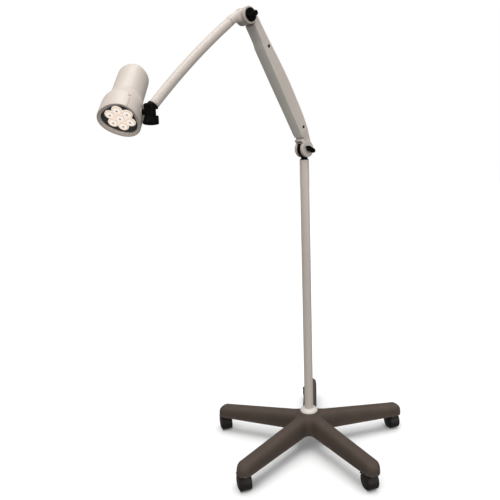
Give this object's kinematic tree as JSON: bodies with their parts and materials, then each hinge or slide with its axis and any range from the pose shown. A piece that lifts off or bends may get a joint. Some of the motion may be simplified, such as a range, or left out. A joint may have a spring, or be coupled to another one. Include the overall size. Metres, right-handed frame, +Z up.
{
  "type": "surgical light",
  "caption": "Mobile LED examination light: small lamp head on a two-part clamped arm, on a pole with a star base on twin-wheel castors.",
  "frame": {"origin": "on the floor, under the middle of the whole light's box as it stands in this pose", "axes": "+Z up; -Y is the front, the side the lamp's mouth mostly faces; +X is the right-hand side seen from the front"},
  "size_m": [0.7581, 0.7394, 1.2822],
  "materials": {
    "light_paint": "satin cream powder coat",
    "pole_paint": "satin grey-cream powder coat",
    "grey_plastic": "fine-grained grey plastic",
    "base_plastic": "dark brown-grey moulded plastic",
    "collar_plastic": "smooth off-white plastic",
    "castor_plastic": "dark brown-black moulded nylon",
    "black_plastic": "black moulded plastic",
    "bezel_plastic": "dark grey plastic",
    "lens_plastic": "clear moulded optics",
    "washer_plastic": "natural nylon",
    "board": "green circuit board",
    "aluminium": "bare extruded aluminium",
    "steel": "zinc plated steel",
    "screw_black": "blackened steel",
    "cast_iron": "raw cast iron"
  },
  "bodies": {
    "base": {"base_star": "base_plastic", "base_collar": "collar_plastic", "pole_tube": "pole_paint", "ballast_plate": "cast_iron", "pole_bolt": "steel", "pole_plug": "steel", "pole_top_bush": "black_plastic", "pole_grub_screw": "screw_black", "power_inlet": "black_plastic", "castor_1_stem": "steel", "castor_2_stem": "steel", "castor_3_stem": "steel", "castor_4_stem": "steel", "castor_5_stem": "steel"},
    "castor_1": {"castor_1_hood": "castor_plastic"},
    "castor_1_left": {"castor_1_wheel_left": "castor_plastic"},
    "castor_1_right": {"castor_1_wheel_right": "castor_plastic"},
    "castor_2": {"castor_2_hood": "castor_plastic"},
    "castor_2_left": {"castor_2_wheel_left": "castor_plastic"},
    "castor_2_right": {"castor_2_wheel_right": "castor_plastic"},
    "castor_3": {"castor_3_hood": "castor_plastic"},
    "castor_3_left": {"castor_3_wheel_left": "castor_plastic"},
    "castor_3_right": {"castor_3_wheel_right": "castor_plastic"},
    "castor_4": {"castor_4_hood": "castor_plastic"},
    "castor_4_left": {"castor_4_wheel_left": "castor_plastic"},
    "castor_4_right": {"castor_4_wheel_right": "castor_plastic"},
    "castor_5": {"castor_5_hood": "castor_plastic"},
    "castor_5_left": {"castor_5_wheel_left": "castor_plastic"},
    "castor_5_right": {"castor_5_wheel_right": "castor_plastic"},
    "hub": {"swivel_hub": "black_plastic", "lower_washer_near": "washer_plastic", "lower_washer_far": "washer_plastic"},
    "lower_arm": {"arm_housing": "light_paint", "arm_cover": "grey_plastic", "arm_screw_upper": "screw_black", "arm_screw_lower": "screw_black", "tilt_stop_pin": "steel", "lower_pivot_bolt": "steel", "elbow_pivot_bolt": "steel"},
    "lower_clamp": {"lower_knob": "black_plastic"},
    "elbow_clamp": {"elbow_knob": "black_plastic"},
    "forearm": {"forearm_hub": "light_paint", "forearm_tube": "light_paint", "elbow_washer_near": "washer_plastic", "elbow_washer_far": "washer_plastic", "head_socket": "black_plastic"},
    "yoke": {"head_yoke": "black_plastic", "head_clamp_screw": "steel", "head_tilt_pin": "steel"},
    "head_clamp": {"head_knob": "black_plastic"},
    "head": {"head_bell": "light_paint", "head_housing": "light_paint", "head_bezel": "bezel_plastic", "lens_array": "lens_plastic", "led_board": "board", "heat_sink": "aluminium"},
    "button": {"switch_button": "black_plastic"}
  },
  "joints": [
    {"name": "castor_1_swivel", "type": "hinge", "parent": "base", "child": "castor_1", "pos_m": [0.35617, 0.11517, 0.05], "axis": [0, 0, 1], "continuous": true},
    {"name": "castor_1_left_roll", "type": "hinge", "parent": "castor_1", "child": "castor_1_left", "pos_m": [0.35092, 0.12815, 0.0245], "axis": [-0.9272, -0.3746, 0], "continuous": true},
    {"name": "castor_1_right_roll", "type": "hinge", "parent": "castor_1", "child": "castor_1_right", "pos_m": [0.35092, 0.12815, 0.0245], "axis": [-0.9272, -0.3746, 0], "continuous": true},
    {"name": "castor_2_swivel", "type": "hinge", "parent": "base", "child": "castor_2", "pos_m": [0.07834, 0.32682, 0.05], "axis": [0, 0, 1], "continuous": true},
    {"name": "castor_2_left_roll", "type": "hinge", "parent": "castor_2", "child": "castor_2_left", "pos_m": [0.0731, 0.3398, 0.0245], "axis": [-0.9272, -0.3746, 0], "continuous": true},
    {"name": "castor_2_right_roll", "type": "hinge", "parent": "castor_2", "child": "castor_2_right", "pos_m": [0.0731, 0.3398, 0.0245], "axis": [-0.9272, -0.3746, 0], "continuous": true},
    {"name": "castor_3_swivel", "type": "hinge", "parent": "base", "child": "castor_3", "pos_m": [-0.2088, 0.128, 0.05], "axis": [0, 0, 1], "continuous": true},
    {"name": "castor_3_left_roll", "type": "hinge", "parent": "castor_3", "child": "castor_3_left", "pos_m": [-0.21405, 0.14098, 0.0245], "axis": [-0.9272, -0.3746, 0], "continuous": true},
    {"name": "castor_3_right_roll", "type": "hinge", "parent": "castor_3", "child": "castor_3_right", "pos_m": [-0.21405, 0.14098, 0.0245], "axis": [-0.9272, -0.3746, 0], "continuous": true},
    {"name": "castor_4_swivel", "type": "hinge", "parent": "base", "child": "castor_4", "pos_m": [-0.10844, -0.20653, 0.05], "axis": [0, 0, 1], "continuous": true},
    {"name": "castor_4_left_roll", "type": "hinge", "parent": "castor_4", "child": "castor_4_left", "pos_m": [-0.11368, -0.19356, 0.0245], "axis": [-0.9272, -0.3746, 0], "continuous": true},
    {"name": "castor_4_right_roll", "type": "hinge", "parent": "castor_4", "child": "castor_4_right", "pos_m": [-0.11368, -0.19356, 0.0245], "axis": [-0.9272, -0.3746, 0], "continuous": true},
    {"name": "castor_5_swivel", "type": "hinge", "parent": "base", "child": "castor_5", "pos_m": [0.24073, -0.21446, 0.05], "axis": [0, 0, 1], "continuous": true},
    {"name": "castor_5_left_roll", "type": "hinge", "parent": "castor_5", "child": "castor_5_left", "pos_m": [0.23549, -0.20148, 0.0245], "axis": [-0.9272, -0.3746, 0], "continuous": true},
    {"name": "castor_5_right_roll", "type": "hinge", "parent": "castor_5", "child": "castor_5_right", "pos_m": [0.23549, -0.20148, 0.0245], "axis": [-0.9272, -0.3746, 0], "continuous": true},
    {"name": "arm_swivel", "type": "hinge", "parent": "base", "child": "hub", "pos_m": [0.0716, 0.0298, 0.933], "axis": [0, 0, 1], "range_deg": [-170, 170]},
    {"name": "arm_tilt", "type": "hinge", "parent": "hub", "child": "lower_arm", "pos_m": [0.0716, 0.0298, 0.933], "axis": [0.7193, -0.6947, 0], "range_deg": [-30, 60]},
    {"name": "lower_knob_turn", "type": "hinge", "parent": "lower_arm", "child": "lower_clamp", "pos_m": [0.0716, 0.0298, 0.933], "axis": [0.7193, -0.6947, 0], "range_deg": [0, 180]},
    {"name": "elbow_bend", "type": "hinge", "parent": "lower_arm", "child": "forearm", "pos_m": [-0.0693, -0.1161, 1.26141], "axis": [0.7193, -0.6947, 0], "range_deg": [-60, 40]},
    {"name": "elbow_knob_turn", "type": "hinge", "parent": "lower_arm", "child": "elbow_clamp", "pos_m": [-0.0693, -0.1161, 1.26141], "axis": [0.7193, -0.6947, 0], "range_deg": [0, 180]},
    {"name": "head_swivel", "type": "hinge", "parent": "forearm", "child": "yoke", "pos_m": [-0.26705, -0.32088, 1.0144], "axis": [0, 0, 1], "range_deg": [-40, 150]},
    {"name": "head_knob_turn", "type": "hinge", "parent": "yoke", "child": "head_clamp", "pos_m": [-0.26705, -0.32088, 1.0144], "axis": [0, 0, -1], "range_deg": [0, 120]},
    {"name": "head_tilt", "type": "hinge", "parent": "yoke", "child": "head", "pos_m": [-0.26705, -0.32088, 1.0144], "axis": [-0.999, 0.0454, 0], "range_deg": [-60, 60]},
    {"name": "switch_press", "type": "slide", "parent": "head", "child": "button", "axis": [-0.0324, -0.7137, -0.6997], "range_m": [0, 0.0015], "stiffness_N_per_m": 400, "springref_m": -0.0015}
  ]
}
